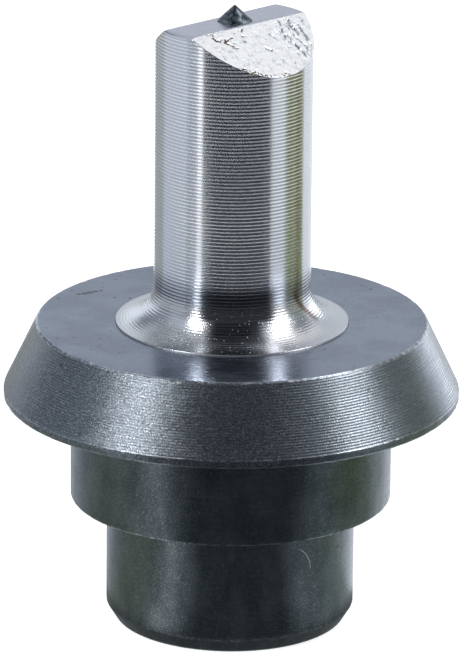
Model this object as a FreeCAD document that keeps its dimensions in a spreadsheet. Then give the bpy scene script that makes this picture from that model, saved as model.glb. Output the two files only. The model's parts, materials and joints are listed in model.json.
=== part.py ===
"""Round punch with a roof-sheared nose: centring point, shank and flanged base, in millimetres.

The origin is the centre of the tail's end face, +Z runs up the punch's axis to the nose,
and the flat land across the nose runs along X.
"""
import FreeCAD, Part
import Sketcher
import math
import os
import re

SHEET_NAME = "Dimensions"

# Driving dimensions, in millimetres and degrees
DIMENSIONS = {
    # Nose and centring point
    "land_width": 2.65,
    "bevel_angle": 33.5,
    "point_height": 1.15,
    "point_margin": 0.1,
    "stem_diameter": 1.6,
    "stem_length": 3.6,
    # Shank, its foot in the flange and its tang in the base
    "shank_diameter": 11.0,
    "shank_length": 21.65,
    "fillet_radius": 2.65,
    "foot_step": 0.1,
    "foot_seat_depth": 1.4,
    "tang_diameter": 9.0,
    "tang_length": 12.5,
    # Flange with its clamping taper
    "flange_diameter": 32.0,
    "flange_top_diameter": 27.5,
    "taper_height": 4.85,
    "rim_height": 0.6,
    "rim_edge_break": 0.15,
    "top_edge_break": 0.12,
    # Spigot and tail
    "spigot_diameter": 22.6,
    "spigot_length": 7.3,
    "spigot_edge_break": 0.25,
    "tail_diameter": 17.5,
    "tail_length": 9.0,
    "tail_chamfer_width": 0.65,
    "tail_chamfer_length": 1.05,
    # Seats
    "fit_clearance": 0.01,
    "blind_end_gap": 0.4,
    "lead_chamfer": 0.3,
}

# Heights above the tail's end face, as formulas of the driving dimensions
seat_face = "tail_length + spigot_length"
rim_top = f"{seat_face} + rim_height"
flange_top = f"{rim_top} + taper_height"
foot_top = f"{flange_top} + foot_step"
foot_seat = f"{flange_top} - foot_seat_depth"
tang_end = f"{foot_seat} - tang_length"
tang_bore_end = f"{tang_end} - blind_end_gap"
land = f"{flange_top} + shank_length"
stem_end = f"{land} - stem_length"
stem_bore_end = f"{stem_end} - blind_end_gap"

# Radii from the punch's axis, as formulas of the driving dimensions
shank_radius = "shank_diameter / 2"
foot_radius = f"{shank_radius} + fillet_radius"
tang_radius = "tang_diameter / 2"
stem_radius = "stem_diameter / 2"
land_half_width = "land_width / 2"
flange_radius = "flange_diameter / 2"
flange_top_radius = "flange_top_diameter / 2"
spigot_radius = "spigot_diameter / 2"
tail_radius = "tail_diameter / 2"

# How far a cut starts outside the metal that it removes
CUT_MARGIN = 2.0

document = FreeCAD.newDocument("round_punch")


def make_sheet():
    """Write each driving dimension in a cell whose alias is the dimension's name."""
    sheet = document.addObject("Spreadsheet::Sheet", SHEET_NAME)
    for row, (name, value) in enumerate(DIMENSIONS.items(), start=1):
        sheet.set(f"A{row}", name)
        sheet.set(f"B{row}", str(value))
        sheet.setAlias(f"B{row}", name)
    document.recompute()


def from_sheet(formula):
    """Return the formula with each dimension's name pointing at its cell."""
    names = "|".join(DIMENSIONS)
    return re.sub(rf"\b({names})\b", rf"{SHEET_NAME}.\1", formula)


def present_value(formula):
    """Return the number that the formula gives with the sheet's present values."""
    result = document.getObject(SHEET_NAME).evalExpression(from_sheet(formula))
    return float(result)


def new_body(name):
    """Return an empty body whose label is the sub-part's name."""
    body = document.addObject("PartDesign::Body", name)
    body.Label = name
    return body


def origin_feature(body, role):
    """Return the body's own origin plane or axis that has this role."""
    return next(item for item in body.Origin.OriginFeatures if item.Role == role)


def outline_sketch(body, name, plane, corners):
    """Return a closed sketch whose corners are bound to the sheet.

    A corner is the formula of its distance across and the formula of its height. A third
    formula is the radius of an arc, anticlockwise from this corner to the next.
    """
    sketch = body.newObject("Sketcher::SketchObject", name)
    sketch.AttachmentSupport = (origin_feature(body, plane), [""])
    sketch.MapMode = "FlatFace"
    points = []
    for across, height, *_ in corners:
        points.append(FreeCAD.Vector(present_value(across), present_value(height), 0))
    for index, (_, _, *arc_radius) in enumerate(corners):
        start = points[index]
        end = points[(index + 1) % len(points)]
        edge = Part.LineSegment(start, end)
        if arc_radius:
            edge = anticlockwise_arc(start, end, present_value(arc_radius[0]))
        sketch.addGeometry(edge, False)
    for index, (across, height, *arc_radius) in enumerate(corners):
        following = (index + 1) % len(corners)
        sketch.addConstraint(Sketcher.Constraint("Coincident", index, 2, following, 1))
        bind_distance(sketch, "DistanceX", index, across)
        bind_distance(sketch, "DistanceY", index, height)
        if arc_radius:
            value = present_value(arc_radius[0])
            row = sketch.addConstraint(Sketcher.Constraint("Radius", index, value))
            sketch.setExpression(f"Constraints[{row}]", from_sheet(arc_radius[0]))
    return sketch


def anticlockwise_arc(start, end, radius):
    """Return the short arc of this radius that turns anticlockwise from start to end."""
    chord = end - start
    left = FreeCAD.Vector(-chord.y, chord.x, 0).normalize()
    to_centre = math.sqrt(radius**2 - (chord.Length / 2) ** 2)
    middle = start + chord / 2 - left * (radius - to_centre)
    return Part.Arc(start, middle, end)


def bind_distance(sketch, kind, edge, formula):
    """Bind the start of an edge to a formula along X or Y, or to the axis where it is 0."""
    if formula == "0":
        axis = -2 if kind == "DistanceX" else -1
        sketch.addConstraint(Sketcher.Constraint("PointOnObject", edge, 1, axis))
        return
    value = present_value(formula)
    row = sketch.addConstraint(Sketcher.Constraint(kind, -1, 1, edge, 1, value))
    sketch.setExpression(f"Constraints[{row}]", from_sheet(formula))


def turn(body, name, corners):
    """Turn a solid about the punch's axis from an outline of radii and heights."""
    return revolve(body, "PartDesign::Revolution", name, corners)


def bore(body, name, corners):
    """Cut a turned recess about the punch's axis, and check that it removes metal."""
    metal_before = body.Shape.Volume
    groove = revolve(body, "PartDesign::Groove", name, corners)
    require(body.Shape.Volume < metal_before, f"{name} removes no metal")
    return groove


def revolve(body, feature_type, name, corners):
    """Sweep an outline of radii and heights once round the punch's axis."""
    sketch = outline_sketch(body, f"{name}_outline", "XZ_Plane", corners)
    feature = body.newObject(feature_type, name)
    feature.Profile = sketch
    feature.ReferenceAxis = (sketch, ["V_Axis"])
    feature.Angle = 360
    document.recompute()
    return feature


def require(condition, message):
    """Stop the build with this message unless the condition holds."""
    if not condition:
        raise RuntimeError(message)


def make_centring_point():
    """The hard cone that stands on the land, with the stem that is pressed in the nose."""
    body = new_body("centring_point")
    point_radius = f"{land_half_width} - point_margin"
    turn(body, "cone_and_stem", [
        ("0", f"{land} + point_height"),
        (point_radius, land),
        (stem_radius, land),
        (stem_radius, f"{stem_end} + lead_chamfer"),
        (f"{stem_radius} - lead_chamfer", stem_end),
        ("0", stem_end),
    ])
    return body


def make_punch_shank():
    """The cutting shank with its sheared nose, filleted foot and tang."""
    body = new_body("punch_shank")
    turn(body, "shank_foot_and_tang", [
        ("0", land),
        (shank_radius, land),
        (shank_radius, f"{foot_top} + fillet_radius", "fillet_radius"),
        (foot_radius, foot_top),
        (foot_radius, foot_seat),
        (tang_radius, foot_seat),
        (tang_radius, f"{tang_end} + lead_chamfer"),
        (f"{tang_radius} - lead_chamfer", tang_end),
        ("0", tang_end),
    ])
    shear_nose(body)
    bore_radius = f"{stem_radius} + fit_clearance"
    bore(body, "stem_bore", [
        ("0", f"{land} + {CUT_MARGIN}"),
        (bore_radius, f"{land} + {CUT_MARGIN}"),
        (bore_radius, stem_bore_end),
        ("0", stem_bore_end),
    ])
    return body


def shear_nose(body):
    """Cut one bevel beside the land, and repeat it on the land's other side."""
    metal_before = body.Shape.Volume
    outside = f"{shank_radius} + {CUT_MARGIN}"
    drop = f"({outside} - {land_half_width}) * tan(bevel_angle)"
    sketch = outline_sketch(body, "bevel_outline", "YZ_Plane", [
        (land_half_width, land),
        (outside, land),
        (outside, f"{land} - {drop}"),
    ])
    bevel = body.newObject("PartDesign::Pocket", "bevel")
    bevel.Profile = sketch
    bevel.SideType = "Symmetric"
    bevel.Type = "ThroughAll"
    document.recompute()
    one_bevel = metal_before - body.Shape.Volume
    require(one_bevel > 0, "the bevel removes no metal")

    both_bevels = body.newObject("PartDesign::PolarPattern", "both_bevels")
    both_bevels.Originals = [bevel]
    both_bevels.Axis = (origin_feature(body, "Z_Axis"), [""])
    both_bevels.Angle = 360
    both_bevels.Occurrences = 2
    body.Tip = both_bevels
    document.recompute()
    removed = metal_before - body.Shape.Volume
    require(math.isclose(removed, 2 * one_bevel, rel_tol=1e-3), "the bevels aren't alike")


def make_flanged_base():
    """The tapered clamping flange, locating spigot and tail, bored for the shank's foot."""
    body = new_body("flanged_base")
    turn(body, "flange_spigot_and_tail", [
        ("0", flange_top),
        (f"{flange_top_radius} - top_edge_break", flange_top),
        (flange_top_radius, f"{flange_top} - top_edge_break"),
        (flange_radius, rim_top),
        (flange_radius, f"{seat_face} + rim_edge_break"),
        (f"{flange_radius} - rim_edge_break", seat_face),
        (spigot_radius, seat_face),
        (spigot_radius, "tail_length + spigot_edge_break"),
        (f"{spigot_radius} - spigot_edge_break", "tail_length"),
        (tail_radius, "tail_length"),
        (tail_radius, "tail_chamfer_length"),
        (f"{tail_radius} - tail_chamfer_width", "0"),
        ("0", "0"),
    ])
    foot_bore_radius = f"{foot_radius} + fit_clearance"
    tang_bore_radius = f"{tang_radius} + fit_clearance"
    bore(body, "foot_and_tang_bore", [
        ("0", f"{flange_top} + {CUT_MARGIN}"),
        (foot_bore_radius, f"{flange_top} + {CUT_MARGIN}"),
        (foot_bore_radius, foot_seat),
        (tang_bore_radius, foot_seat),
        (tang_bore_radius, tang_bore_end),
        ("0", tang_bore_end),
    ])
    return body


def check_document():
    """Stop unless every object of the document has recomputed without a fault."""
    for item in document.Objects:
        faults = {"Invalid", "Error"}.intersection(item.State)
        require(not faults, f"{item.Label} is {', '.join(faults)}")


def export(body):
    """Write the sub-part's one valid solid to the file that has its name."""
    shape = body.Shape
    require(not shape.isNull() and shape.isValid(), f"{body.Label} has no valid shape")
    require(len(shape.Solids) == 1, f"{body.Label} isn't one solid")
    shape.exportStep(os.path.join("parts", f"{body.Label}.step"))


make_sheet()
bodies = [make_centring_point(), make_punch_shank(), make_flanged_base()]
document.recompute()
check_document()
os.makedirs("parts", exist_ok=True)
for sub_part in bodies:
    export(sub_part)
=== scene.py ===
"""Round punch, dressed for rendering. Lengths are in metres, in the row's own frame.

The shank and the base are turned meshes with real feed marks, the nose is cut from the shank,
and the steels are procedural. The row's X runs along the land across the nose.
"""
import itertools
import json
import math
from typing import NamedTuple

import bmesh
import bpy
import numpy as np
from mathutils import Matrix, Vector
from mathutils.geometry import delaunay_2d_cdt


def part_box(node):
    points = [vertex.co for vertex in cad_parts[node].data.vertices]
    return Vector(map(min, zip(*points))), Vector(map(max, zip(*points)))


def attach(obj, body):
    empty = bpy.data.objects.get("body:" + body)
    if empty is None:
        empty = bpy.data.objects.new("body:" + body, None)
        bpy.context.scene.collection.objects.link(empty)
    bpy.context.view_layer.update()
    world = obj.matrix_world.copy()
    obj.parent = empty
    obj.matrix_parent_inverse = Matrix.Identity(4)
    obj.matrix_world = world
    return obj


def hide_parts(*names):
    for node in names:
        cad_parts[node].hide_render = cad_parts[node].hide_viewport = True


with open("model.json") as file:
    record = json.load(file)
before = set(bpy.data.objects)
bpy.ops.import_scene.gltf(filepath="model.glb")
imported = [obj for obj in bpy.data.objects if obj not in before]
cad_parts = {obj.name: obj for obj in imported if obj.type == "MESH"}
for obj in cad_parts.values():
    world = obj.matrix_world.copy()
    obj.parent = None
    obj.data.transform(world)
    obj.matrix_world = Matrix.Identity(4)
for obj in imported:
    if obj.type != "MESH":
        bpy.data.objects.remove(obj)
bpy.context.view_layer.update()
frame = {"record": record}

MM = 0.001
NOISE_TABLE = np.random.default_rng(11).uniform(-1, 1, (48, 48, 48))

# Sizes that the frame holds
mounts = {mount["name"]: mount for mount in frame["record"]["mounts"]}
base_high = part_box("flanged_base")[1]
shank_low, shank_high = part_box("punch_shank")
point_low, point_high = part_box("centring_point")
SHANK_RADIUS = mounts["shank"]["dims"]["r_mm"] * MM
SPIGOT_RADIUS = mounts["spigot"]["dims"]["r_mm"] * MM
TAIL_RADIUS = mounts["tail"]["dims"]["r_mm"] * MM
SEAT_FACE = mounts["seat_face"]["pos_m"][2]
FLANGE_TOP = base_high.z
FLANGE_RADIUS = base_high.x
FOOT_RADIUS = shank_high.x
LAND = shank_high.z
TANG_END = shank_low.z
POINT_TIP = point_high.z
POINT_RADIUS = point_high.x
STEM_END = point_low.z

# Sizes that the frame's boxes and mounts don't show, the same as the solids have
FLANGE_TOP_RADIUS = 13.75 * MM
RIM_HEIGHT = 0.6 * MM
RIM_BREAK = 0.15 * MM
TOP_BREAK = 0.12 * MM
TAIL_LENGTH = 9.0 * MM
SPIGOT_BREAK = 0.06 * MM
TAIL_CHAMFER_WIDTH = 0.65 * MM
TAIL_CHAMFER_LENGTH = 1.05 * MM
FOOT_STEP = 0.1 * MM
FOOT_SEAT_DEPTH = 1.4 * MM
TANG_RADIUS = 4.5 * MM
STEM_RADIUS = 0.8 * MM
LEAD_CHAMFER = 0.3 * MM
BLIND_END_GAP = 0.4 * MM
FIT_CLEARANCE = 0.01 * MM
LAND_HALF_WIDTH = 1.325 * MM
BEVEL_ANGLE = math.radians(33.5)

# Material numbers on the shank's mesh
BEVEL_FACE = 1
LAND_FACE = 2
CAVITY_FACE = 3
RUST_FACE = 4

FOOT_TOP = FLANGE_TOP + FOOT_STEP
FOOT_SEAT = FLANGE_TOP - FOOT_SEAT_DEPTH
FILLET_RADIUS = FOOT_RADIUS - SHANK_RADIUS

# Camera, fitted to the photograph's outline
IMAGE_HEIGHT = 654
FOCAL_PIXELS = 5713
CAMERA_DISTANCE = 400 * MM
CAMERA_ELEVATION = math.radians(18.15)
CAMERA_ROLL = math.radians(0.51)
CAMERA_AIM_HEIGHT = 21.21 * MM
CAMERA_SIDE_SHIFT = -0.063 * MM
SENSOR_WIDTH = 36.0
LAND_TURN = math.radians(43.4)

# Directions seen from above: to the camera's right, and away from it
CAMERA_RIGHT = Vector((math.cos(LAND_TURN), -math.sin(LAND_TURN), 0))
CAMERA_AWAY = Vector((math.sin(LAND_TURN), math.cos(LAND_TURN), 0))


def towards(azimuth, elevation):
    """Return the direction at degrees to the right of the camera and above the horizon."""
    turn = math.radians(azimuth)
    rise = math.radians(elevation)
    level = math.sin(turn) * CAMERA_RIGHT - math.cos(turn) * CAMERA_AWAY
    return math.cos(rise) * level + math.sin(rise) * Vector((0, 0, 1))


def make_camera():
    """A camera at the photograph's viewing angle."""
    level = math.cos(CAMERA_ELEVATION) * CAMERA_AWAY
    forward = level - Vector((0, 0, math.sin(CAMERA_ELEVATION)))
    upright = CAMERA_RIGHT.cross(forward)
    right = math.cos(CAMERA_ROLL) * CAMERA_RIGHT + math.sin(CAMERA_ROLL) * upright
    up = right.cross(forward)
    aim = Vector((0, 0, CAMERA_AIM_HEIGHT)) + CAMERA_SIDE_SHIFT * CAMERA_RIGHT
    place = aim - CAMERA_DISTANCE * forward
    data = bpy.data.cameras.new("camera")
    data.sensor_width = SENSOR_WIDTH
    data.lens = FOCAL_PIXELS / IMAGE_HEIGHT * SENSOR_WIDTH
    data.clip_start = 10 * MM
    data.clip_end = 20
    camera = bpy.data.objects.new("camera", data)
    turn = Matrix((right, up, -forward)).transposed()
    camera.matrix_world = Matrix.Translation(place) @ turn.to_4x4()
    bpy.context.scene.collection.objects.link(camera)
    bpy.context.scene.camera = camera


class Finish(NamedTuple):
    """How a run of an outline was machined: sample spacing, feed per turn and mark depth."""
    step: float = 0.4 * MM
    feed: float = 0.0
    depth: float = 0.0
    end_depth: float = 0.0


class Corner(NamedTuple):
    """A corner of an outline, its rounding, its nicks and the run that leaves it."""
    radius: float
    height: float
    rounding: float = 0.0
    wear: float = 0.0
    run: Finish = Finish()
    turn: Finish = Finish(step=0.02 * MM)


SAMPLES_PER_FEED = 6


def feed_marks(feed, depth, end_depth):
    """Return the finish of a run with feed marks, whose sizes are in millimetres."""
    return Finish(feed / SAMPLES_PER_FEED * MM, feed * MM, depth * MM, end_depth * MM)


SHANK_FEED = feed_marks(0.25, 0.020, 0.012)
FILLET_FEED = feed_marks(0.22, 0.016, 0.013)
TAPER_FEED = feed_marks(0.193, 0.021, 0.021)

# A run's marks keep their depth and change to their end depth late, by this power
LATE_CHANGE = 6

# The side where the flange's feed marks are whole, and how they fade beside it
MARKED_SIDE = towards(28, 0)
MARKED_FACING = 0.88
WORN_FACING = 0.60
WORN_MARKS = 0.58


def walk(corners):
    """Return stations along an outline: place, outward normal, nick depth and feed mark's depth.

    The metal lies to the right of the way that the outline runs.
    """
    stations = []
    points = [np.array([corner.radius, corner.height]) for corner in corners]
    start = points[0]
    for index, corner in enumerate(corners[:-1]):
        following = corners[index + 1]
        run = points[index + 1] - points[index]
        along = run / np.linalg.norm(run)
        trim = 0.0
        turning = 0.0
        if index + 2 < len(corners) and following.rounding:
            onward = points[index + 2] - points[index + 1]
            onward = onward / np.linalg.norm(onward)
            turning = math.atan2(along[0] * onward[1] - along[1] * onward[0], along @ onward)
            trim = following.rounding * abs(math.tan(turning / 2))
        end = points[index + 1] - trim * along
        stations += walk_line(start, end, corner.run, corner.wear, following.wear)
        start = end
        if turning:
            arc, start = walk_arc(end, along, turning, following)
            stations += arc
    stations.append((*points[-1], 0.0, 0.0, 0.0, 0.0))
    return stations


def walk_line(start, end, finish, first_wear, last_wear):
    """Return the stations of a straight run, without its last point."""
    length = float(np.linalg.norm(end - start))
    if length < 1e-9:
        return []
    along = (end - start) / length
    outward = np.array([-along[1], along[0]])
    count = max(1, round(length / finish.step))
    stations = []
    for number in range(count):
        share = number / count
        depth = finish.depth + (finish.end_depth - finish.depth) * share**LATE_CHANGE
        place = start + share * length * along
        wear = first_wear * fade(share * length) + last_wear * fade((1 - share) * length)
        stations.append((*place, *outward, wear, mark(share, length, finish.feed, depth)))
    return stations


def walk_arc(start, along, turning, corner):
    """Return the stations of a rounded corner, without its last point, and that point."""
    side = np.array([-along[1], along[0]]) * math.copysign(1, turning)
    centre = start + corner.rounding * side
    length = corner.rounding * abs(turning)
    count = max(3, round(length / corner.turn.step))
    stations = []
    for number in range(count + 1):
        share = number / count
        angle = turning * share
        spoke = turned(-side, angle)
        outward = -math.copysign(1, turning) * spoke
        depth = corner.turn.depth + (corner.turn.end_depth - corner.turn.depth) * share
        place = centre + corner.rounding * spoke
        if number < count:
            sunk = mark(share, length, corner.turn.feed, depth)
            stations.append((*place, *outward, corner.wear, sunk))
    return stations, centre + corner.rounding * turned(-side, turning)


def turned(vector, angle):
    """Return a flat vector turned anticlockwise by an angle."""
    cosine = math.cos(angle)
    sine = math.sin(angle)
    return np.array([cosine * vector[0] - sine * vector[1], sine * vector[0] + cosine * vector[1]])


def mark(share, length, feed, depth):
    """Return how deep a feed mark lies below its ridges, at a share of a run's length.

    A whole number of marks fits the run.
    """
    if not feed:
        return 0.0
    phase = share * max(1, round(length / feed)) % 1.0 - 0.5
    return depth * (1 - 4 * phase**2)


def fade(distance, reach=0.12 * MM):
    """Return 1 at a corner, falling to 0 a short way from it."""
    return max(0.0, 1 - distance / reach)


def marks_left(cosines, sines):
    """Return the share of the flange's feed marks that wear has left at each angle."""
    facing = cosines * MARKED_SIDE.x + sines * MARKED_SIDE.y
    share = np.clip((facing - WORN_FACING) / (MARKED_FACING - WORN_FACING), 0, 1)
    return WORN_MARKS + (1 - WORN_MARKS) * share * share * (3 - 2 * share)


def lathe(name, corners, segments, waviness, worn=False):
    """Turn an outline that starts and ends on the axis into a closed mesh."""
    stations = np.array(walk(corners))
    places = stations[1:-1]
    angles = np.arange(segments) * (2 * math.pi / segments)
    cosines = np.cos(angles)
    sines = np.sin(angles)
    sunk = surface_noise(places, cosines, sines, waviness)
    sunk += places[:, None, 5] * (marks_left(cosines, sines) if worn else 1.0)
    radii = places[:, None, 0] - sunk * places[:, None, 2]
    heights = places[:, None, 1] - sunk * places[:, None, 3]
    rings = np.stack([radii * cosines, radii * sines, heights], axis=-1).reshape(-1, 3)
    first = [[0, 0, stations[0, 1]]]
    last = [[0, 0, stations[-1, 1]]]
    vertices = np.concatenate([first, rings, last])
    piece = make_object(name, vertices.tolist(), lathe_faces(len(places), segments))
    piece.data.shade_smooth()
    piece.data.set_sharp_from_angle(angle=SHARP_ANGLE)
    return piece


# Cells of noise per millimetre, and the fine nicks' share of the coarse ones' depth
WAVES_PER_MM = 0.9
NICKS_PER_MM = 2.3
FINE_NICKS_PER_MM = 7.1
FINE_NICK_SHARE = 0.55


def surface_noise(places, cosines, sines, waviness):
    """Return how far each vertex is sunk by slow waviness and by nicks at worn corners."""
    across = places[:, None, 0] * cosines
    deep = places[:, None, 0] * sines
    up = np.broadcast_to(places[:, None, 1], across.shape)
    spots = np.stack([across, deep, up], axis=-1) / MM
    waves = 1 + lattice_noise(spots * WAVES_PER_MM)
    fine = FINE_NICK_SHARE * lattice_noise(spots * FINE_NICKS_PER_MM)
    nicks = np.maximum(0, lattice_noise(spots * NICKS_PER_MM) + fine)
    return waviness * waves + places[:, None, 4] * nicks


def lattice_noise(spots):
    """Return a smooth noise between -1 and 1 at each of an array of spots."""
    cells = np.floor(spots).astype(int)
    shares = spots - cells
    shares = shares * shares * (3 - 2 * shares)
    total = np.zeros(spots.shape[:-1])
    for corner in itertools.product((0, 1), repeat=3):
        weights = np.where(corner, shares, 1 - shares).prod(axis=-1)
        picked = (cells + corner) % len(NOISE_TABLE)
        total += weights * NOISE_TABLE[picked[..., 0], picked[..., 1], picked[..., 2]]
    return total


def lathe_faces(rings, segments):
    """Return the faces of a closed turned mesh, with the first and last vertex on the axis."""
    faces = []
    last = rings * segments + 1
    for column in range(segments):
        following = (column + 1) % segments
        faces.append((0, 1 + column, 1 + following))
        for row in range(rings - 1):
            near = 1 + row * segments
            far = near + segments
            faces.append((near + column, far + column, far + following, near + following))
        end_ring = 1 + (rings - 1) * segments
        faces.append((end_ring + column, last, end_ring + following))
    return faces


SHARP_ANGLE = math.radians(35)


def make_object(name, vertices, faces):
    """Return a new mesh object in the scene."""
    mesh = bpy.data.meshes.new(name)
    mesh.from_pydata(vertices, [], faces)
    thing = bpy.data.objects.new(name, mesh)
    bpy.context.scene.collection.objects.link(thing)
    return thing


def make_base():
    """The flange, spigot and tail, with the counterbore and bore that hold the shank."""
    top_edge = 0.04 * MM
    foot_bore = FOOT_RADIUS + FIT_CLEARANCE
    tang_bore = TANG_RADIUS + FIT_CLEARANCE
    bore_end = TANG_END - BLIND_END_GAP
    rim_top = SEAT_FACE + RIM_HEIGHT
    return lathe("flanged_base_turned", [
        Corner(0, bore_end),
        Corner(tang_bore, bore_end),
        Corner(tang_bore, FOOT_SEAT),
        Corner(foot_bore, FOOT_SEAT),
        Corner(foot_bore, FLANGE_TOP, 0.02 * MM),
        Corner(FLANGE_TOP_RADIUS - TOP_BREAK, FLANGE_TOP, top_edge, 0.02 * MM),
        Corner(FLANGE_TOP_RADIUS, FLANGE_TOP - TOP_BREAK, top_edge, 0.03 * MM, run=TAPER_FEED),
        Corner(FLANGE_RADIUS, rim_top, 0.04 * MM, 0.03 * MM),
        Corner(FLANGE_RADIUS, SEAT_FACE + RIM_BREAK, 0.05 * MM, 0.04 * MM),
        Corner(FLANGE_RADIUS - RIM_BREAK, SEAT_FACE, 0.05 * MM, 0.03 * MM),
        Corner(SPIGOT_RADIUS, SEAT_FACE, 0.05 * MM),
        Corner(SPIGOT_RADIUS, TAIL_LENGTH + SPIGOT_BREAK, 0.05 * MM, 0.02 * MM),
        Corner(SPIGOT_RADIUS - SPIGOT_BREAK, TAIL_LENGTH, 0.05 * MM, 0.02 * MM),
        Corner(TAIL_RADIUS, TAIL_LENGTH, 0.1 * MM),
        Corner(TAIL_RADIUS, TAIL_CHAMFER_LENGTH, 0.15 * MM, 0.02 * MM),
        Corner(TAIL_RADIUS - TAIL_CHAMFER_WIDTH, 0, 0.1 * MM),
        Corner(0, 0),
    ], segments=480, waviness=0.001 * MM, worn=True)


def make_shank():
    """The shank with its fillet, foot and tang, and the nose cut to its land and bevels."""
    stem_bore = STEM_RADIUS + FIT_CLEARANCE
    stem_bore_end = STEM_END - BLIND_END_GAP
    piece = lathe("punch_shank_turned", [
        Corner(0, stem_bore_end),
        Corner(stem_bore, stem_bore_end),
        Corner(stem_bore, LAND),
        Corner(SHANK_RADIUS, LAND, 0.22 * MM, run=SHANK_FEED),
        Corner(SHANK_RADIUS, FOOT_TOP, FILLET_RADIUS, turn=FILLET_FEED),
        Corner(FOOT_RADIUS, FOOT_TOP, 0.03 * MM),
        Corner(FOOT_RADIUS, FOOT_SEAT),
        Corner(TANG_RADIUS, FOOT_SEAT),
        Corner(TANG_RADIUS, TANG_END + LEAD_CHAMFER),
        Corner(TANG_RADIUS - LEAD_CHAMFER, TANG_END),
        Corner(0, TANG_END),
    ], segments=240, waviness=0.001 * MM)
    cut_nose(piece.data)
    return piece


# A face of the land looks up at least this much and lies at most this far below it
LAND_FACING = 0.75
LAND_DEPTH = 0.07 * MM

# How far apart the two bevels lie in the noise, so that their damage differs
SEED_SPREAD = 40


def cut_nose(mesh):
    """Cut both bevels, and give each a pitted and galled face."""
    form = bmesh.new()
    form.from_mesh(mesh)
    for side in (-1, 1):
        normal = Vector((0, side * math.sin(BEVEL_ANGLE), math.cos(BEVEL_ANGLE)))
        edge_point = Vector((0, side * LAND_HALF_WIDTH, LAND))
        everything = form.verts[:] + form.edges[:] + form.faces[:]
        cut = bmesh.ops.bisect_plane(
            form, geom=everything, plane_co=edge_point, plane_no=normal, clear_outer=True)
        rim = [item for item in cut["geom_cut"] if isinstance(item, bmesh.types.BMEdge)]
        down_slope = Vector((0, side * math.cos(BEVEL_ANGLE), -math.sin(BEVEL_ANGLE)))
        fill_bevel(form, rim, edge_point, down_slope, normal)
    for face in form.faces:
        if face.normal.z > LAND_FACING and face.calc_center_median().z > LAND - LAND_DEPTH:
            face.material_index = LAND_FACE
    form.to_mesh(mesh)
    form.free()


def fill_bevel(form, rim, edge_point, down_slope, normal, spacing=0.055 * MM):
    """Fill a cut with a fine net of triangles, and sink pits and galling marks into it."""
    along_land = Vector((1, 0, 0))
    rim_verts = list({vert for edge in rim for vert in edge.verts})
    flat_rim = [flatten(vert.co, edge_point, along_land, down_slope) for vert in rim_verts]
    numbers = {vert: number for number, vert in enumerate(rim_verts)}
    rim_edges = [(numbers[edge.verts[0]], numbers[edge.verts[1]]) for edge in rim]
    reach = max(place.y for place in flat_rim)
    across = np.arange(-SHANK_RADIUS, SHANK_RADIUS, spacing)
    down = np.arange(spacing, reach, spacing)
    net = [Vector((x, y)) for x in across for y in down]
    places, _, triangles, origins, _, _ = delaunay_2d_cdt(
        flat_rim + net, rim_edges, [], 1, spacing / 100)
    flat = np.array([tuple(place) for place in places])
    rim_array = np.array([tuple(place) for place in flat_rim])
    gaps = np.linalg.norm(flat[:, None, :] - rim_array, axis=-1).min(axis=1)
    sunk, kinds = bevel_damage(*flat.T / MM, gaps / MM, SEED_SPREAD * down_slope.y)
    verts = []
    for place, origin, depth in zip(flat, origins, sunk):
        kept = [number for number in origin if number < len(rim_verts)]
        if kept:
            vert = rim_verts[kept[0]]
            vert.co -= float(depth) * normal
        else:
            on_plane = edge_point + float(place[0]) * along_land + float(place[1]) * down_slope
            vert = form.verts.new(on_plane - float(depth) * normal)
        verts.append(vert)
    for triangle in triangles:
        corners = [verts[number] for number in triangle]
        if len(set(corners)) == 3:
            face = add_facing(form, corners, normal)
            corner_kinds = list(kinds[list(triangle)])
            face.material_index = int(max(corner_kinds, key=corner_kinds.count))


def flatten(place, edge_point, along_land, down_slope):
    """Return a place in a bevel's own flat coordinates."""
    offset = place - edge_point
    return Vector((offset.dot(along_land), offset.dot(down_slope)))


def add_facing(form, corners, normal):
    """Add a bevel's triangle, with its face along the bevel's normal, and return it."""
    turn = (corners[1].co - corners[0].co).cross(corners[2].co - corners[0].co)
    if turn.dot(normal) < 0:
        corners = corners[::-1]
    face = form.faces.get(corners) or form.faces.new(corners)
    face.smooth = True
    return face


class Stroke(NamedTuple):
    """A mark on a bevel, from one place to another, in millimetres along the land and down."""
    start: tuple
    end: tuple
    width: float
    depth: float


GOUGES = (
    Stroke((3.45, 0.40), (3.35, 1.80), 0.13, 0.10),
    Stroke((3.95, 0.95), (3.75, 2.40), 0.10, 0.09),
    Stroke((2.40, 2.50), (2.55, 3.60), 0.12, 0.09),
    Stroke((2.65, 0.25), (2.10, 1.90), 0.09, 0.06),
    Stroke((3.05, 0.60), (3.00, 1.20), 0.07, 0.05),
    Stroke((3.00, 2.10), (3.15, 2.90), 0.07, 0.06),
    Stroke((1.10, 1.20), (1.25, 1.65), 0.10, 0.05),
    Stroke((-0.15, 2.25), (0.15, 2.60), 0.14, 0.06),
    Stroke((3.30, 2.90), (3.10, 3.30), 0.08, 0.05),
)
CRACKS = (
    Stroke((-3.92, 0.04), (-3.84, 0.10), 0.08, 0.03),
    Stroke((-3.45, 0.06), (-3.50, 0.30), 0.07, 0.04),
    Stroke((-3.64, 0.45), (-3.55, 0.76), 0.11, 0.05),
    Stroke((-3.55, 0.76), (-2.96, 1.07), 0.08, 0.05),
    Stroke((-2.96, 1.07), (-2.55, 1.51), 0.12, 0.05),
    Stroke((-2.79, 0.77), (-2.96, 1.07), 0.08, 0.05),
    Stroke((-2.85, 0.95), (-2.05, 0.79), 0.07, 0.05),
    Stroke((-1.65, 0.42), (-1.62, 0.50), 0.08, 0.04),
    Stroke((-1.17, 0.24), (-1.14, 0.32), 0.08, 0.04),
    Stroke((-0.74, 0.20), (-0.98, 0.44), 0.07, 0.04),
    Stroke((-1.22, 0.85), (-1.14, 0.98), 0.08, 0.04),
)


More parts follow.
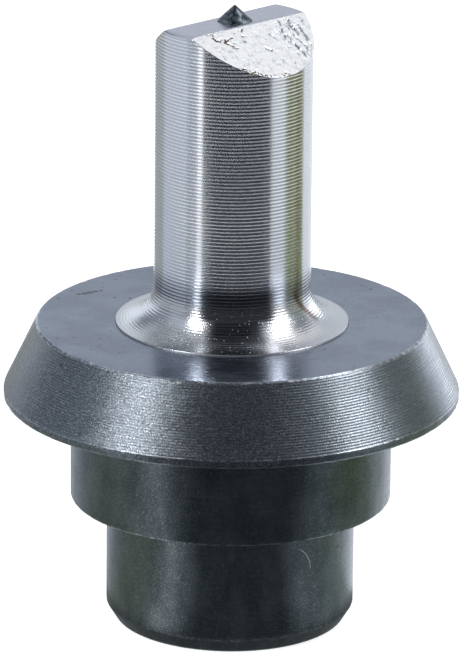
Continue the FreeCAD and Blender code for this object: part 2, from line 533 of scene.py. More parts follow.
def scored(along, down, strokes):
    """Return how deeply strokes mark each place, and the greatest share of a stroke's depth."""
    deepest = np.zeros_like(along)
    share = np.zeros_like(along)
    places = np.stack([along, down], axis=-1)
    for stroke in strokes:
        start = np.array(stroke.start)
        run = np.array(stroke.end) - start
        part = np.clip((places - start) @ run / (run @ run), 0, 1)
        off = np.linalg.norm(places - start - part[:, None] * run, axis=-1)
        strength = np.maximum(0, 1 - off / stroke.width)
        deepest = np.maximum(deepest, strength * stroke.depth)
        share = np.maximum(share, strength)
    return deepest, share


def bevel_damage(along, down, gap, seed):
    """Return a bevel's depth of damage, and which material shows there.

    Places are in millimetres along the land and down the slope, with their gap to the rim.
    Noise has so many cells per millimetre, and every depth is in millimetres until the last line.
    """
    level = np.zeros_like(along) + seed
    spots = np.stack([along, down, level + 3.7], axis=-1)
    inside = np.minimum(1, gap / 0.2)
    rough = 0.004 * (1 + lattice_noise(spots * 2.1)) + 0.005 * abs(lattice_noise(spots * 7.0))
    bent = lattice_noise(spots * 3.1) + 0.6 * lattice_noise(spots * 9.0)
    ragged = 0.85 + 0.6 * lattice_noise(spots * 6.1 + np.array((0, 3, 0)))
    gouges, gouge_share = scored(along + 0.10 * bent, down, GOUGES)
    cracks, crack_share = scored(along, down + 0.07 * bent, CRACKS)
    galling = lattice_noise(np.stack([along * 12, down * 1.7, level + 9.1], axis=-1))
    galling += 0.7 * lattice_noise(np.stack([along * 21, down * 4.5, level + 2.3], axis=-1))
    zone = np.exp(-((along - 2.9) / 1.4)**4 - ((down - 2.1) / 1.9)**4)
    torn = np.maximum(0, zone * (galling - 0.30))
    pits = np.maximum(0, lattice_noise(spots * 6.3 + np.array((5, 0, 0))) - 0.62)
    chips = np.maximum(0, lattice_noise(spots * 8.9) + 0.08) * np.exp(-(gap / 0.28)**2)
    chips *= np.exp(-((down - 4.2) / 1.4)**4 - ((along + 1.6) / 2.1)**4)
    nicks = np.maximum(0, lattice_noise(spots * 8.3)) * np.exp(-(down / 0.22)**2)
    nicks *= np.exp(-((along + 3.7) / 1.4)**4)
    depth = inside * (rough + ragged * (gouges + cracks) + 0.07 * torn + 0.08 * pits)
    depth += 0.08 * chips + 0.06 * nicks * np.minimum(1, gap / 0.05)
    kinds = np.full(along.shape, BEVEL_FACE)
    kinds[(gouge_share * ragged > 0.40) | (torn > 0.38) | (pits > 0.13)] = CAVITY_FACE
    kinds[(crack_share * ragged > 0.30) | (chips > 0.13)] = RUST_FACE
    return MM * depth, kinds


TIP_WEAR_RADIUS = 0.05 * MM
TIP_WEAR = 0.03 * MM


def make_point():
    """The small centring cone, slightly worn at its tip, with its stem in the nose."""
    return lathe("centring_point_turned", [
        Corner(0, POINT_TIP),
        Corner(TIP_WEAR_RADIUS, POINT_TIP - TIP_WEAR),
        Corner(POINT_RADIUS - 0.05 * MM, LAND + 0.06 * MM, 0.1 * MM, 0.03 * MM,
               run=Finish(step=0.05 * MM)),
        Corner(POINT_RADIUS, LAND),
        Corner(STEM_RADIUS, LAND),
        Corner(STEM_RADIUS, STEM_END + LEAD_CHAMFER),
        Corner(STEM_RADIUS - LEAD_CHAMFER, STEM_END),
        Corner(0, STEM_END),
    ], segments=96, waviness=0.006 * MM)


class Nodes:
    """The node tree of a new material or of a world, with short ways to add and join nodes."""

    def __init__(self, name, world=None):
        self.holder = world or bpy.data.materials.new(name)
        self.holder.use_nodes = True
        self.tree = self.holder.node_tree
        self.tree.nodes.clear()

    def add(self, kind, settings=None, **inputs):
        """Add a node, set its properties and feed its inputs with values or sockets."""
        node = self.tree.nodes.new(kind)
        for name, value in (settings or {}).items():
            setattr(node, name, value)
        for name, value in inputs.items():
            self.feed(node, name.replace("_", " "), value)
        return node

    def feed(self, node, name, value):
        """Feed one input, found by its name or its number, with a value or a socket."""
        socket = node.inputs[int(name)] if name.isdigit() else node.inputs[name]
        if isinstance(value, bpy.types.NodeSocket):
            self.tree.links.new(value, socket)
        else:
            socket.default_value = value

    def math(self, operation, first, second=0.0):
        """Return the result of an operation on one or two numbers."""
        node = self.tree.nodes.new("ShaderNodeMath")
        node.operation = operation
        self.feed(node, "0", first)
        self.feed(node, "1", second)
        return node.outputs[0]

    def times(self, first, second):
        """Return the product of two numbers."""
        return self.math("MULTIPLY", first, second)

    def plus(self, first, second):
        """Return the sum of two numbers."""
        return self.math("ADD", first, second)

    def most(self, first, second):
        """Return the greater of two numbers."""
        return self.math("MAXIMUM", first, second)

    def place(self):
        """Return the point's place in the object's own frame."""
        return self.add("ShaderNodeTexCoord").outputs["Object"]

    def scaled(self, across, up):
        """Return the place in textures' units, stretched across and up the object."""
        mapping = self.add("ShaderNodeMapping", Vector=self.place(), Scale=(across, across, up))
        return mapping.outputs[0]

    def radius(self):
        """Return the distance from the punch's axis, and the height, in metres."""
        parts = self.add("ShaderNodeSeparateXYZ", Vector=self.place())
        across = self.times(parts.outputs[0], parts.outputs[0])
        deep = self.times(parts.outputs[1], parts.outputs[1])
        return self.math("SQRT", self.plus(across, deep)), parts.outputs[2]

    def turning_lines(self, per_metre, along=150.0):
        """Return a noise drawn out round the axis, on walls and faces alike."""
        radius, height = self.radius()
        parts = self.add("ShaderNodeSeparateXYZ", Vector=self.scaled(along, along))
        lines = self.add("ShaderNodeCombineXYZ", {}, **{
            "0": self.times(radius, per_metre),
            "1": self.times(height, per_metre),
            "2": parts.outputs[0]})
        node = self.add("ShaderNodeTexNoise", {"noise_dimensions": "4D"},
                        Vector=lines.outputs[0], W=parts.outputs[1], Scale=1.0, Detail=3.0)
        return node.outputs["Fac"]

    def near_ring(self, ring_radius, ring_height, reach):
        """Return 1 at a ring round the axis, falling to 0 at a distance."""
        radius, height = self.radius()
        off = self.math("SUBTRACT", radius, ring_radius)
        above = self.math("SUBTRACT", height, ring_height)
        square = self.plus(self.times(off, off), self.times(above, above))
        return self.band(self.math("SQRT", square), reach, 0.2 * reach)

    def distance(self, spot):
        """Return the distance from a spot."""
        return self.add("ShaderNodeVectorMath", {"operation": "DISTANCE"}, **{
            "0": self.place(), "1": spot}).outputs["Value"]

    def near(self, spot, reach):
        """Return 1 at a spot, falling to 0 at a distance."""
        return self.band(self.distance(spot), reach, 0.5 * reach)

    def shell(self, centre, reach, thickness):
        """Return 1 at a set distance from a centre, falling to 0 beside it."""
        off = self.math("ABSOLUTE", self.math("SUBTRACT", self.distance(centre), reach))
        return self.band(off, thickness, 0.4 * thickness)

    def reach_towards(self, azimuth):
        """Return how far the point lies from the axis towards an azimuth."""
        node = self.add("ShaderNodeVectorMath", {"operation": "DOT_PRODUCT"}, **{
            "0": self.place(), "1": towards(azimuth, 0)})
        return node.outputs["Value"]

    def bearing(self):
        """Return the angle round the axis, which is 0 at azimuth 0 and grows to its right."""
        return self.math("ARCTAN2", self.reach_towards(90), self.reach_towards(0))

    def facing(self, azimuth, radius, low, high):
        """Return 1 on the side that looks to an azimuth, falling to 0 beside it."""
        share = self.math("DIVIDE", self.reach_towards(azimuth), radius)
        return self.band(share, low, high)

    def specks(self, per_metre, share, size):
        """Return 1 in small round specks, in a share of the cells."""
        cells = self.add("ShaderNodeTexVoronoi", Vector=self.place(), Scale=per_metre)
        picked = self.add("ShaderNodeSeparateColor", Color=cells.outputs["Color"])
        chosen = self.math("LESS_THAN", picked.outputs[0], share)
        return self.times(chosen, self.band(cells.outputs["Distance"], size, size / 2))

    def noise(self, vector, scale=1.0, detail=2.0, roughness=0.5):
        """Return a noise between 0 and 1."""
        node = self.add("ShaderNodeTexNoise", Vector=vector, Scale=scale, Detail=detail,
                        Roughness=roughness)
        return node.outputs["Fac"]

    def band(self, value, low, high, start=0.0, end=1.0):
        """Return the value mapped from one range to another, smoothly and clamped."""
        node = self.tree.nodes.new("ShaderNodeMapRange")
        node.interpolation_type = "SMOOTHSTEP"
        for number, item in enumerate((value, low, high, start, end)):
            self.feed(node, str(number), item)
        return node.outputs[0]

    def blend(self, share, first, second):
        """Return two colours mixed by a share."""
        node = self.tree.nodes.new("ShaderNodeMix")
        node.data_type = "RGBA"
        self.feed(node, "0", share)
        self.feed(node, "6", first)
        self.feed(node, "7", second)
        return node.outputs[2]

    def metal(self, colour, roughness, bump=None, bump_depth=0.0, anisotropy=0.0):
        """Finish the tree with a metal whose brush lines run round the punch's axis."""
        metal = self.add("ShaderNodeBsdfPrincipled", Base_Color=colour, Metallic=1.0,
                         Roughness=roughness, Anisotropic=anisotropy)
        if anisotropy:
            tangent = self.add("ShaderNodeTangent", {"direction_type": "RADIAL", "axis": "Z"})
            self.feed(metal, "Tangent", tangent.outputs[0])
            self.feed(metal, "Anisotropic Rotation", 0.25)
        if bump is not None:
            bumped = self.add("ShaderNodeBump", Height=bump, Distance=bump_depth)
            self.feed(metal, "Normal", bumped.outputs[0])
        return self.output(metal.outputs[0])

    def output(self, surface, kind="ShaderNodeOutputMaterial"):
        """Finish the tree with its surface, and return the material or the world."""
        self.add(kind, Surface=surface)
        return self.holder


# The bearings of the brown stain that runs down the fillet, at its top and at its foot
STAIN_BEARINGS = (math.radians(53), math.radians(70))

# The bright steel's colours
BRIGHT_COLOUR = (0.65, 0.665, 0.695, 1)
# The next colour is painted shade: the fillet's painted dark reflection
SHADE_COLOUR = (0.05, 0.055, 0.062, 1)
DOT_COLOUR = (0.75, 0.77, 0.80, 1)
STAIN_COLOUR = (0.20, 0.13, 0.09, 1)


def over_foot(millimetres):
    """Return the height at some millimetres above the foot's top."""
    return FOOT_TOP + millimetres * MM


def bright_steel():
    """Finely turned bright steel, with painted shade, a painted dark reflection, in its fillet,
    and a brown stain there.
    """
    nodes = Nodes("bright_steel")
    lines = nodes.turning_lines(9000)
    radius, height = nodes.radius()
    low = nodes.band(height, over_foot(2.6), over_foot(1.4))
    dots = nodes.times(low, nodes.specks(3600, 0.50, 0.20))
    step = nodes.band(height, over_foot(-0.01), over_foot(-0.04))
    # Painted shade: the fillet is darkened as a painted dark reflection, and along its step
    colour = nodes.blend(fillet_shade(nodes, radius, height, step), BRIGHT_COLOUR, SHADE_COLOUR)
    colour = nodes.blend(nodes.times(dots, 0.8), colour, DOT_COLOUR)
    colour = nodes.blend(nodes.times(fillet_stain(nodes, height), 0.85), colour, STAIN_COLOUR)
    grain = nodes.noise(nodes.scaled(9000, 9000), detail=2, roughness=0.6)
    fillet = nodes.band(height, over_foot(2.6), over_foot(1.2))
    roughness = nodes.plus(nodes.band(lines, 0.3, 0.7, 0.15, 0.20), nodes.times(dots, 0.4))
    roughness = nodes.plus(roughness, nodes.times(fillet, 0.01))
    roughness = nodes.plus(roughness, nodes.times(step, 0.35))
    rough = nodes.times(nodes.times(grain, fillet), 2.5)
    bumps = nodes.plus(nodes.times(lines, 0.02), nodes.plus(dots, rough))
    return nodes.metal(colour, roughness, bumps, 0.004 * MM, anisotropy=0.7)


def fillet_shade(nodes, radius, height, step):
    """Return the fillet's painted shade, a painted dark reflection: a ring, a pool on each of two
    sides, and a line along its step.
    """
    ring = nodes.times(nodes.band(height, over_foot(1.3), over_foot(1.7)),
                       nodes.band(height, over_foot(4.4), over_foot(3.2)))
    ring_share = nodes.band(nodes.facing(4, radius, 0.80, 0.96), 0.0, 1.0, 0.35, 0.92)
    pool = nodes.times(nodes.facing(3, radius, 0.925, 0.976),
                       nodes.band(height, over_foot(2.1), over_foot(1.5), 0.0, 0.93))
    pool = nodes.times(pool, nodes.band(height, FOOT_TOP, over_foot(0.5), 0.3, 1.0))
    shade = nodes.most(nodes.times(ring, ring_share), pool)
    side_pool = nodes.times(nodes.facing(-36, radius, 0.93, 0.99),
                            nodes.band(height, over_foot(1.2), over_foot(0.5), 0.0, 0.62))
    fine = nodes.noise(nodes.scaled(9500, 9500), detail=1)
    side_pool = nodes.times(side_pool, nodes.band(fine, 0.44, 0.62, 0.40, 1.0))
    return nodes.most(shade, nodes.most(side_pool, nodes.times(step, 0.35)))


def fillet_stain(nodes, height):
    """Return the share of the brown stain, a cloudy line that leans down the fillet."""
    cloud = nodes.noise(nodes.scaled(420, 260), detail=4)
    line = nodes.band(height, over_foot(3.0), over_foot(0.3), *STAIN_BEARINGS)
    off_line = nodes.math("ABSOLUTE", nodes.math("SUBTRACT", nodes.bearing(), line))
    stain = nodes.times(nodes.band(off_line, 0.075, 0.02),
                        nodes.band(cloud, 0.30, 0.60, 0.35, 1.0))
    ends = nodes.times(nodes.band(height, over_foot(0.5), over_foot(0.9)),
                       nodes.band(height, over_foot(3.8), over_foot(2.6)))
    return nodes.times(stain, ends)


def land_steel():
    """The dull ground land across the nose."""
    nodes = Nodes("land_steel")
    grain = nodes.noise(nodes.scaled(2500, 2500), detail=4)
    colour = nodes.blend(grain, (0.48, 0.49, 0.56, 1), (0.65, 0.66, 0.75, 1))
    return nodes.metal(colour, 0.28, grain, 0.004 * MM)


def bevel_steel():
    """The sheared nose's pale satin face."""
    nodes = Nodes("bevel_steel")
    grain = nodes.noise(nodes.scaled(5000, 5000), detail=3, roughness=0.6)
    cloud = nodes.noise(nodes.scaled(2300, 2300), detail=4, roughness=0.65)
    colour = nodes.blend(nodes.band(cloud, 0.49, 0.75),
                         (0.86, 0.875, 0.90, 1), (0.56, 0.58, 0.62, 1))
    return nodes.metal(colour, 0.32, nodes.plus(grain, cloud), 0.022 * MM)


def cavity_steel():
    """Torn metal at the bottom of gouges and pits, rougher than the bevel, and coloured darker as
    painted shade in these hollows.
    """
    nodes = Nodes("cavity_steel")
    grain = nodes.noise(nodes.scaled(6000, 6000), detail=3)
    # Painted shade: darker than the bevel, for the shade in gouges and pits
    colour = nodes.blend(nodes.band(grain, 0.4, 0.6),
                         (0.22, 0.25, 0.30, 1), (0.54, 0.58, 0.64, 1))
    return nodes.metal(colour, 0.45, grain, 0.02 * MM)


def rust():
    """Rust-brown specks in cracks and along the worn edge."""
    nodes = Nodes("rust")
    grain = nodes.noise(nodes.scaled(7000, 7000), detail=2)
    colour = nodes.blend(nodes.band(grain, 0.4, 0.6),
                         (0.05, 0.033, 0.018, 1), (0.23, 0.13, 0.06, 1))
    return nodes.metal(colour, 0.6, grain, 0.02 * MM)


# The blackened steel's colours
LOW_DARK = (0.078, 0.090, 0.096, 1)
LOW_PALE = (0.114, 0.132, 0.138, 1)
FLANK_COLOUR = (0.156, 0.177, 0.201, 1)
# The next colour is painted shade on the flank's lit side
LIT_FLANK_SHADE_COLOUR = (0.06, 0.07, 0.08, 1)
TOP_DARK = (0.216, 0.249, 0.316, 1)
TOP_PALE = (0.278, 0.316, 0.392, 1)
BARE_COLOUR = (0.74, 0.77, 0.80, 1)
# The next two colours are painted sparkle: painted shade in small hollows, and painted glints
HOLLOW_SHADE_COLOUR = (0.05, 0.056, 0.062, 1)
GLINT_COLOUR = (0.55, 0.58, 0.61, 1)
SCAR_COLOUR = (0.03, 0.032, 0.035, 1)
SCRATCH_COLOUR = (0.50, 0.53, 0.56, 1)
PIT_COLOUR = (0.02, 0.022, 0.025, 1)
DUST_COLOUR = (0.04, 0.044, 0.05, 1)

# Rings where wear has bared the steel: radius, height, reach and strength of each
WORN_RINGS = (
    (FLANGE_TOP_RADIUS - TOP_BREAK / 2, FLANGE_TOP - TOP_BREAK / 2, 0.18 * MM, 0.8),
    (FLANGE_RADIUS, SEAT_FACE + RIM_HEIGHT, 0.10 * MM, 0.4),
    (FLANGE_RADIUS - RIM_BREAK, SEAT_FACE, 0.13 * MM, 0.6),
    (TAIL_RADIUS, TAIL_CHAMFER_LENGTH, 0.16 * MM, 0.22),
    (SPIGOT_RADIUS, TAIL_LENGTH, 0.20 * MM, 0.45),
)

# Pits in the flange's top: azimuth, radius and reach of each. Five of them run into one scar.
TOP_PITS = (
    (-120.0, 9.6 * MM, 0.16 * MM),
    (-71.4, 8.9 * MM, 0.12 * MM),
    (-12.5, 11.0 * MM, 0.11 * MM),
    (-116.8, 12.2 * MM, 0.26 * MM),
    (-118.5, 11.9 * MM, 0.36 * MM),
    (-120.5, 11.7 * MM, 0.34 * MM),
    (-122.5, 11.5 * MM, 0.30 * MM),
    (-124.5, 11.3 * MM, 0.20 * MM),
    (34.0, 12.9 * MM, 0.09 * MM),
)

# A curved scratch on the tail
SCRATCH_REACH = 1.9 * MM
SCRATCH_CENTRE = towards(27.5, 0) * TAIL_RADIUS + Vector((0, 0, 5.7 * MM))


def blackened_steel():
    """Blackened satin steel with turning lines, fine grain, bare metal at worn edges, painted
    sparkle, and painted shade on the flank's lit side.
    """
    nodes = Nodes("blackened_steel")
    lines = nodes.turning_lines(8000)
    grain = nodes.noise(nodes.scaled(10500, 10500), detail=1, roughness=0.6)
    cloud = nodes.noise(nodes.scaled(300, 300), detail=4)
    from_axis, height = nodes.radius()
    upper = nodes.band(height, SEAT_FACE - 0.2 * MM, SEAT_FACE + 0.2 * MM)
    top = nodes.band(height, FLANGE_TOP - 0.10 * MM, FLANGE_TOP - 0.02 * MM)
    flank = nodes.math("SUBTRACT", upper, top)
    # The flank's lit side, where the left lamp's highlight falls: painted shade, painted sparkle
    # and stronger bumps go here
    lit_flank = nodes.times(flank, nodes.facing(-25, from_axis, 0.60, 0.85))
    colour = unworn_colour(nodes, cloud, upper, top, lit_flank)
    colour = add_worn_rings(nodes, colour, grain)
    colour = add_sparkle(nodes, colour, top, flank, lit_flank)
    colour = add_marks(nodes, colour, height, upper)
    roughness = nodes.plus(nodes.band(lines, 0.3, 0.7, 0.17, 0.23),
                           nodes.band(cloud, 0.3, 0.7, 0.0, 0.05))
    roughness = nodes.plus(roughness, nodes.times(flank, 0.07))
    roughness = nodes.plus(roughness, nodes.times(top, 0.05))
    depth = nodes.plus(nodes.times(flank, 0.6), nodes.times(lit_flank, 0.6))
    depth = nodes.plus(nodes.band(upper, 0, 1, 1.0, 0.06), depth)
    relief = nodes.times(nodes.plus(grain, nodes.times(lines, 0.25)), depth)
    return nodes.metal(colour, roughness, relief, 0.016 * MM, anisotropy=0.4)


def unworn_colour(nodes, cloud, upper, top, lit_flank):
    """Return the colour of the spigot and tail, the flange's flank and its top, with painted shade
    on the flank's lit side.
    """
    smudges = nodes.noise(nodes.scaled(620, 340), detail=5, roughness=0.6)
    low = nodes.blend(nodes.band(smudges, 0.36, 0.64), LOW_DARK, LOW_PALE)
    colour = nodes.blend(upper, low, FLANK_COLOUR)
    # Painted shade: the flank's lit side is darkened
    colour = nodes.blend(nodes.times(lit_flank, 0.36), colour, LIT_FLANK_SHADE_COLOUR)
    mottle = nodes.blend(nodes.band(cloud, 0.38, 0.62), TOP_DARK, TOP_PALE)
    return nodes.blend(top, colour, mottle)


def add_worn_rings(nodes, colour, grain):
    """Return the colour with patches of bare metal along the worn corners."""
    bits = nodes.noise(nodes.scaled(2600, 2600), detail=2)
    patchy = nodes.times(nodes.band(grain, 0.34, 0.54), nodes.band(bits, 0.42, 0.60, 0.25, 1.0))
    for radius, height, reach, strength in WORN_RINGS:
        worn = nodes.times(nodes.near_ring(radius, height, reach), patchy)
        colour = nodes.blend(nodes.times(worn, strength), colour, BARE_COLOUR)
    return colour


def add_sparkle(nodes, colour, top, flank, lit_flank):
    """Return the colour with painted sparkle: painted shade in small dark hollows, and small
    painted glints.
    """
    sparkle = nodes.noise(nodes.scaled(10000, 10000), detail=1)
    # Painted shade in small dark hollows, most on the flank's lit side
    hollow_shade_share = nodes.plus(nodes.band(flank, 0, 1, 0.2, 0.35), nodes.times(lit_flank, 0.4))
    hollow_shade = nodes.times(nodes.band(sparkle, 0.46, 0.30), hollow_shade_share)
    colour = nodes.blend(hollow_shade, colour, HOLLOW_SHADE_COLOUR)
    # Painted glints: small pale specks everywhere but the flange's top, most on the flank's lit
    # side
    glint_share = nodes.plus(nodes.times(flank, 0.10), nodes.times(lit_flank, 0.12))
    glint_share = nodes.plus(nodes.band(top, 0, 1, 0.15, 0.0), glint_share)
    glint = nodes.times(nodes.band(sparkle, 0.53, 0.68), glint_share)
    return nodes.blend(glint, colour, GLINT_COLOUR)


def add_marks(nodes, colour, height, upper):
    """Return the colour with the top's pits, the tail's scratch, small pits and dark specks."""
    for azimuth, radius, reach in TOP_PITS:
        spot = nodes.near(towards(azimuth, 0) * radius + Vector((0, 0, FLANGE_TOP)), reach)
        colour = nodes.blend(nodes.times(spot, 0.8), colour, SCAR_COLOUR)
    ends = nodes.times(nodes.band(height, 5.6 * MM, 5.9 * MM),
                       nodes.band(height, 7.5 * MM, 7.2 * MM))
    scratch = nodes.times(nodes.shell(SCRATCH_CENTRE, SCRATCH_REACH, 0.035 * MM), ends)
    scratch = nodes.times(scratch, nodes.facing(37, TAIL_RADIUS, 0.980, 0.992))
    colour = nodes.blend(nodes.times(scratch, 0.7), colour, SCRATCH_COLOUR)
    colour = nodes.blend(nodes.specks(420, 0.16, 0.06), colour, PIT_COLOUR)
    dust = nodes.times(nodes.specks(1000, 0.32, 0.17), upper)
    return nodes.blend(nodes.times(dust, 0.55), colour, DUST_COLOUR)


def hardened_steel():
    """The point's dark blue-grey steel, lightly mottled."""
    nodes = Nodes("hardened_steel")
    mottle = nodes.noise(nodes.scaled(3000, 1100), detail=4, roughness=0.65)
    colour = nodes.blend(nodes.band(mottle, 0.38, 0.66),
                         (0.035, 0.048, 0.060, 1), (0.23, 0.265, 0.30, 1))
    return nodes.metal(colour, 0.28, mottle, 0.045 * MM)


def dress(piece, slot, node, *materials):
    """Give a piece its materials, and let it stand for its CAD node."""
    for material in materials:
        piece.data.materials.append(material)
    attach(piece, "root")
    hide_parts(node)


WHITE = (1.0, 1.0, 1.0, 1.0)
FLOOR_COLOUR = (0.9, 0.9, 0.9, 1.0)
FLOOR_SIZE = 3.0
FLOOR_LIFT = 0.60
WORLD_LIGHT = 0.5
WORLD_LIFT = 0.5
CARD_HEIGHT = 0.1 * MM


def seen_white(nodes, plain_shader, strength):
    """Return a shader that camera, glossy and transmission rays see lifted towards white."""
    path = nodes.add("ShaderNodeLightPath")
    seen = path.outputs["Is Camera Ray"]
    for name in ("Is Glossy Ray", "Is Transmission Ray"):
        seen = nodes.most(seen, path.outputs[name])
    lift = nodes.add("ShaderNodeEmission", Color=WHITE, Strength=nodes.times(seen, strength))
    both = nodes.add("ShaderNodeAddShader", **{"0": plain_shader, "1": lift.outputs[0]})
    return both.outputs[0]


def make_floor():
    """A plain pale floor that keeps the object's shadow."""
    reach = FLOOR_SIZE / 2
    corners = [(-reach, -reach, 0), (reach, -reach, 0), (reach, reach, 0), (-reach, reach, 0)]
    floor = make_object("floor", corners, [(0, 1, 2, 3)])
    nodes = Nodes("floor")
    matt = nodes.add("ShaderNodeBsdfDiffuse", Color=FLOOR_COLOUR)
    surface = seen_white(nodes, matt.outputs[0], FLOOR_LIFT)
    floor.data.materials.append(nodes.output(surface))


def make_world():
    """A plain soft light from all round, which the camera and the metal see as white."""
    nodes = Nodes("world", bpy.data.worlds.new("world"))
    soft = nodes.add("ShaderNodeBackground", Strength=WORLD_LIGHT)
    surface = seen_white(nodes, soft.outputs[0], WORLD_LIFT)
    bpy.context.scene.world = nodes.output(surface, "ShaderNodeOutputWorld")


def make_lamp(name, azimuth, elevation, width, height, radiance, distance=0.45):
    """A soft box that faces the punch, at degrees from the camera's side."""
    data = bpy.data.lights.new(name, "AREA")
    data.shape = "RECTANGLE"
    data.size = width
    data.size_y = height
    data.energy = radiance * math.pi * width * height
    lamp = bpy.data.objects.new(name, data)
    centre = Vector((0, 0, LAND / 2))
    direction = towards(azimuth, elevation)
    lamp.location = centre + distance * direction
    lamp.rotation_euler = direction.to_track_quat("Z", "Y").to_euler()
    lamp.visible_camera = False
    bpy.context.scene.collection.objects.link(lamp)


class Band(NamedTuple):
    """A height band round the punch: part of the floor's radius, or degrees above the horizon."""
    on_floor: bool
    start: float
    end: float


CONTACT = Band(True, 7.8 * MM, 11 * MM)
NEAR_FLOOR = Band(True, 11 * MM, 60 * MM)
INNER_FLOOR = Band(True, 11 * MM, 32 * MM)
OUTER_FLOOR = Band(True, 32 * MM, 60 * MM)
FAR_FLOOR = Band(True, 60 * MM, 300 * MM)
LOW = Band(False, 0, 18)
MIDDLE = Band(False, 18, 46)
HIGH = Band(False, 46, 68)
CEILING = Band(False, 68, 90)
UPPER_BACK = Band(False, 30, 68)
LOWER_BACK = Band(False, 0, 30)
HORIZON = Band(False, -4, 8)
RISE = Band(False, 8, 30)
BELT = Band(False, 11, 18)
SHOULDER = Band(False, 32, 46)


def make_flag(name, band, start, end, radiance, distance=0.3, angle_step=6):
    """A card that only the metal's reflections see, from one azimuth to another."""
    centre = Vector((0, 0, LAND / 2))
    columns = max(1, round((end - start) / angle_step))
    rows = max(1, round((band.end - band.start) / angle_step)) if not band.on_floor else 1
    vertices = []
    for column in range(columns + 1):
        azimuth = start + (end - start) * column / columns
        for row in range(rows + 1):
            level = band.start + (band.end - band.start) * row / rows
            if band.on_floor:
                vertices.append(towards(azimuth, 0) * level + Vector((0, 0, CARD_HEIGHT)))
            else:
                vertices.append(centre + towards(azimuth, level) * distance)
    faces = []
    for column in range(columns):
        for row in range(rows):
            near = column * (rows + 1) + row
            far = near + rows + 1
            faces.append((near, near + 1, far + 1, far))
    flag = make_object(name, vertices, faces)
    nodes = Nodes(name)
    glow = nodes.add("ShaderNodeEmission", Color=(*radiance, 1))
    flag.data.materials.append(nodes.output(glow.outputs[0]))
    flag.visible_camera = False
    flag.visible_diffuse = False
    flag.visible_shadow = False


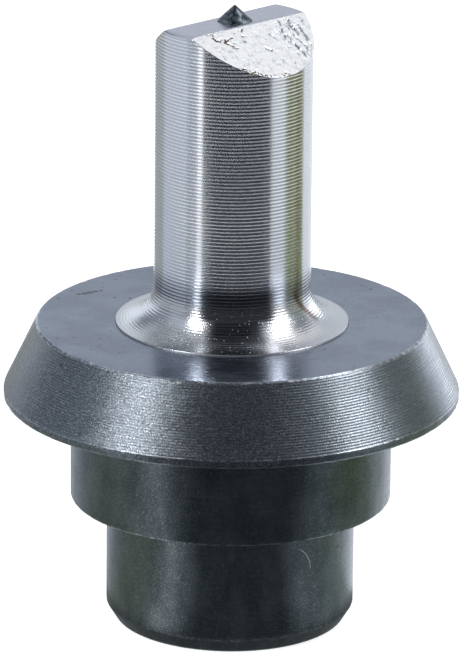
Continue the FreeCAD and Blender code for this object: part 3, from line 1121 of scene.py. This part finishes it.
# The cards: name, band, first and last azimuth, radiance, and distance where it isn't the usual
FLAGS = (
    # The contact card is painted shade: a dark ring that the metal's reflections see where the
    # floor lies in the punch's shadow
    ("contact", CONTACT, 0, 360, (0.20, 0.22, 0.23)),
    ("front_inner", INNER_FLOOR, -28, 44, (0.125, 0.14, 0.155)),
    ("front_outer", OUTER_FLOOR, -32, 46, (0.095, 0.115, 0.125)),
    ("front_inner_left", INNER_FLOOR, -40, -28, (0.54, 0.59, 0.64)),
    ("front_outer_left", OUTER_FLOOR, -41, -32, (0.38, 0.42, 0.46)),
    ("front_inner_right", INNER_FLOOR, 44, 54, (0.42, 0.46, 0.50)),
    ("front_outer_right", OUTER_FLOOR, 46, 54, (0.24, 0.28, 0.29)),
    ("front_far", FAR_FLOOR, -45, 55, (0.028, 0.036, 0.046)),
    ("front_low", LOW, -44.5, 57, (0.12, 0.135, 0.155)),
    ("front_middle", MIDDLE, -50, 62, (0.25, 0.26, 0.28)),
    ("front_high", HIGH, -60, 46, (0.02, 0.02, 0.025)),
    ("front_high_right", HIGH, 46, 66, (0.85, 0.89, 0.95)),
    ("ceiling_front", CEILING, -66, 66, (0.28, 0.29, 0.31)),
    ("ceiling_back", CEILING, 146, 214, (0.06, 0.065, 0.07)),
    ("ceiling_left", CEILING, -146, -66, (0.40, 0.42, 0.45)),
    ("ceiling_right", CEILING, 66, 146, (0.50, 0.54, 0.60)),
    ("lamp_inner_left", INNER_FLOOR, -54, -40, (1.18, 1.22, 1.26)),
    ("lamp_outer_left", OUTER_FLOOR, -54, -41, (0.98, 1.02, 1.06)),
    ("lamp_far_left", FAR_FLOOR, -53, -45, (0.88, 0.91, 0.94)),
    ("lamp_inner_right", INNER_FLOOR, 54, 68, (0.66, 0.72, 0.77)),
    ("lamp_outer_right", OUTER_FLOOR, 54, 68, (0.20, 0.24, 0.25)),
    ("lamp_far_right", FAR_FLOOR, 55, 80, (0.60, 0.64, 0.70)),
    ("left_gap_near", NEAR_FLOOR, -66, -54, (0.49, 0.53, 0.52)),
    ("left_near", NEAR_FLOOR, -104, -66, (0.43, 0.48, 0.42)),
    ("left_near_back", NEAR_FLOOR, -125, -104, (0.49, 0.54, 0.58)),
    ("left_gap_far", FAR_FLOOR, -70, -53, (0.38, 0.42, 0.49)),
    ("left_gap_low", LOW, -70, -51.5, (0.37, 0.41, 0.48)),
    ("left_far", FAR_FLOOR, -120, -70, (0.58, 0.63, 0.73)),
    ("left_low", LOW, -122, -70, (0.67, 0.73, 0.83)),
    ("left_low_back", LOW, -160, -122, (0.95, 1.02, 1.16)),
    ("left_middle", MIDDLE, -95, -62, (0.46, 0.50, 0.58)),
    ("left_back_middle", MIDDLE, -160, -95, (0.24, 0.26, 0.30)),
    ("left_high", HIGH, -120, -60, (0.70, 0.74, 0.80)),
    ("left_back_near", NEAR_FLOOR, -160, -125, (0.59, 0.65, 0.74)),
    ("left_back_far", FAR_FLOOR, -160, -120, (0.40, 0.43, 0.44)),
    ("right_inner", INNER_FLOOR, 68, 88, (0.52, 0.58, 0.58)),
    ("right_outer", OUTER_FLOOR, 68, 88, (0.29, 0.34, 0.22)),
    ("right_back_inner", INNER_FLOOR, 88, 106, (0.60, 0.68, 0.66)),
    ("right_back_outer", OUTER_FLOOR, 88, 106, (0.40, 0.48, 0.36)),
    ("right_rear_inner", INNER_FLOOR, 106, 165, (1.06, 1.12, 1.24)),
    ("right_rear_outer", OUTER_FLOOR, 106, 128, (0.72, 0.80, 0.82)),
    ("right_last_outer", OUTER_FLOOR, 128, 165, (0.95, 1.01, 1.12)),
    ("right_rear_far", FAR_FLOOR, 120, 148, (0.86, 0.90, 0.96)),
    ("right_far_1", FAR_FLOOR, 80, 86, (0.28, 0.32, 0.26)),
    ("right_far_2", FAR_FLOOR, 86, 95, (0.17, 0.21, 0.08)),
    ("right_far_3", FAR_FLOOR, 95, 103, (0.26, 0.29, 0.16)),
    ("right_far_4", FAR_FLOOR, 103, 110, (0.15, 0.14, 0.06)),
    ("right_far_5", FAR_FLOOR, 110, 120, (0.22, 0.25, 0.10)),
    ("right_low", LOW, 80, 120, (0.39, 0.43, 0.38)),
    ("right_middle", MIDDLE, 84, 100, (0.52, 0.56, 0.62)),
    ("right_back_middle", MIDDLE, 100, 128, (0.24, 0.265, 0.29)),
    ("right_high", HIGH, 66, 86, (0.70, 0.74, 0.80)),
    ("back_low", LOWER_BACK, 163, 189, (0.67, 0.71, 0.76)),
    ("back_low_left", LOWER_BACK, 189, 200, (0.95, 1.0, 1.08)),
    ("right_horizon_near", HORIZON, 121, 137, (1.9, 2.0, 2.15)),
    ("right_horizon", HORIZON, 137, 151, (4.2, 4.35, 4.6)),
    ("right_horizon_back", HORIZON, 151, 163, (0.7, 0.73, 0.78)),
    ("right_rise", RISE, 128, 163, (0.62, 0.66, 0.73)),
    ("back_high", UPPER_BACK, 156, 204, (0.50, 0.53, 0.58)),
    ("left_back_high", UPPER_BACK, 204, 238, (0.66, 0.70, 0.76)),
    ("lamp_low_left", LOW, -51.5, -45, (1.9, 1.95, 2.0)),
    ("right_rim_far", FAR_FLOOR, 148, 163, (0.90, 0.94, 0.99)),
    ("left_belt", BELT, -150, -98, (0.22, 0.24, 0.28), 0.29),
    ("left_shoulder", SHOULDER, -141, -92, (0.50, 0.53, 0.59), 0.29),
)


def make_studio():
    """The floor, the world, three soft boxes and the cards round the punch."""
    make_floor()
    make_world()
    make_lamp("left_box", -53.5, 33, 0.052, 0.30, 23.5)
    make_lamp("right_box", 74.5, 29, 0.14, 0.22, 8.5)
    make_lamp("right_top_box", 94, 54, 0.11, 0.15, 4.0)
    for flag in FLAGS:
        make_flag(*flag)


make_camera()
dress(make_shank(), "bright_steel", "punch_shank", bright_steel(), bevel_steel(),
      land_steel(), cavity_steel(), rust())
dress(make_base(), "blackened_steel", "flanged_base", blackened_steel())
dress(make_point(), "hardened_point", "centring_point", hardened_steel())
make_studio()

bpy.context.scene.view_settings.view_transform = "Standard"
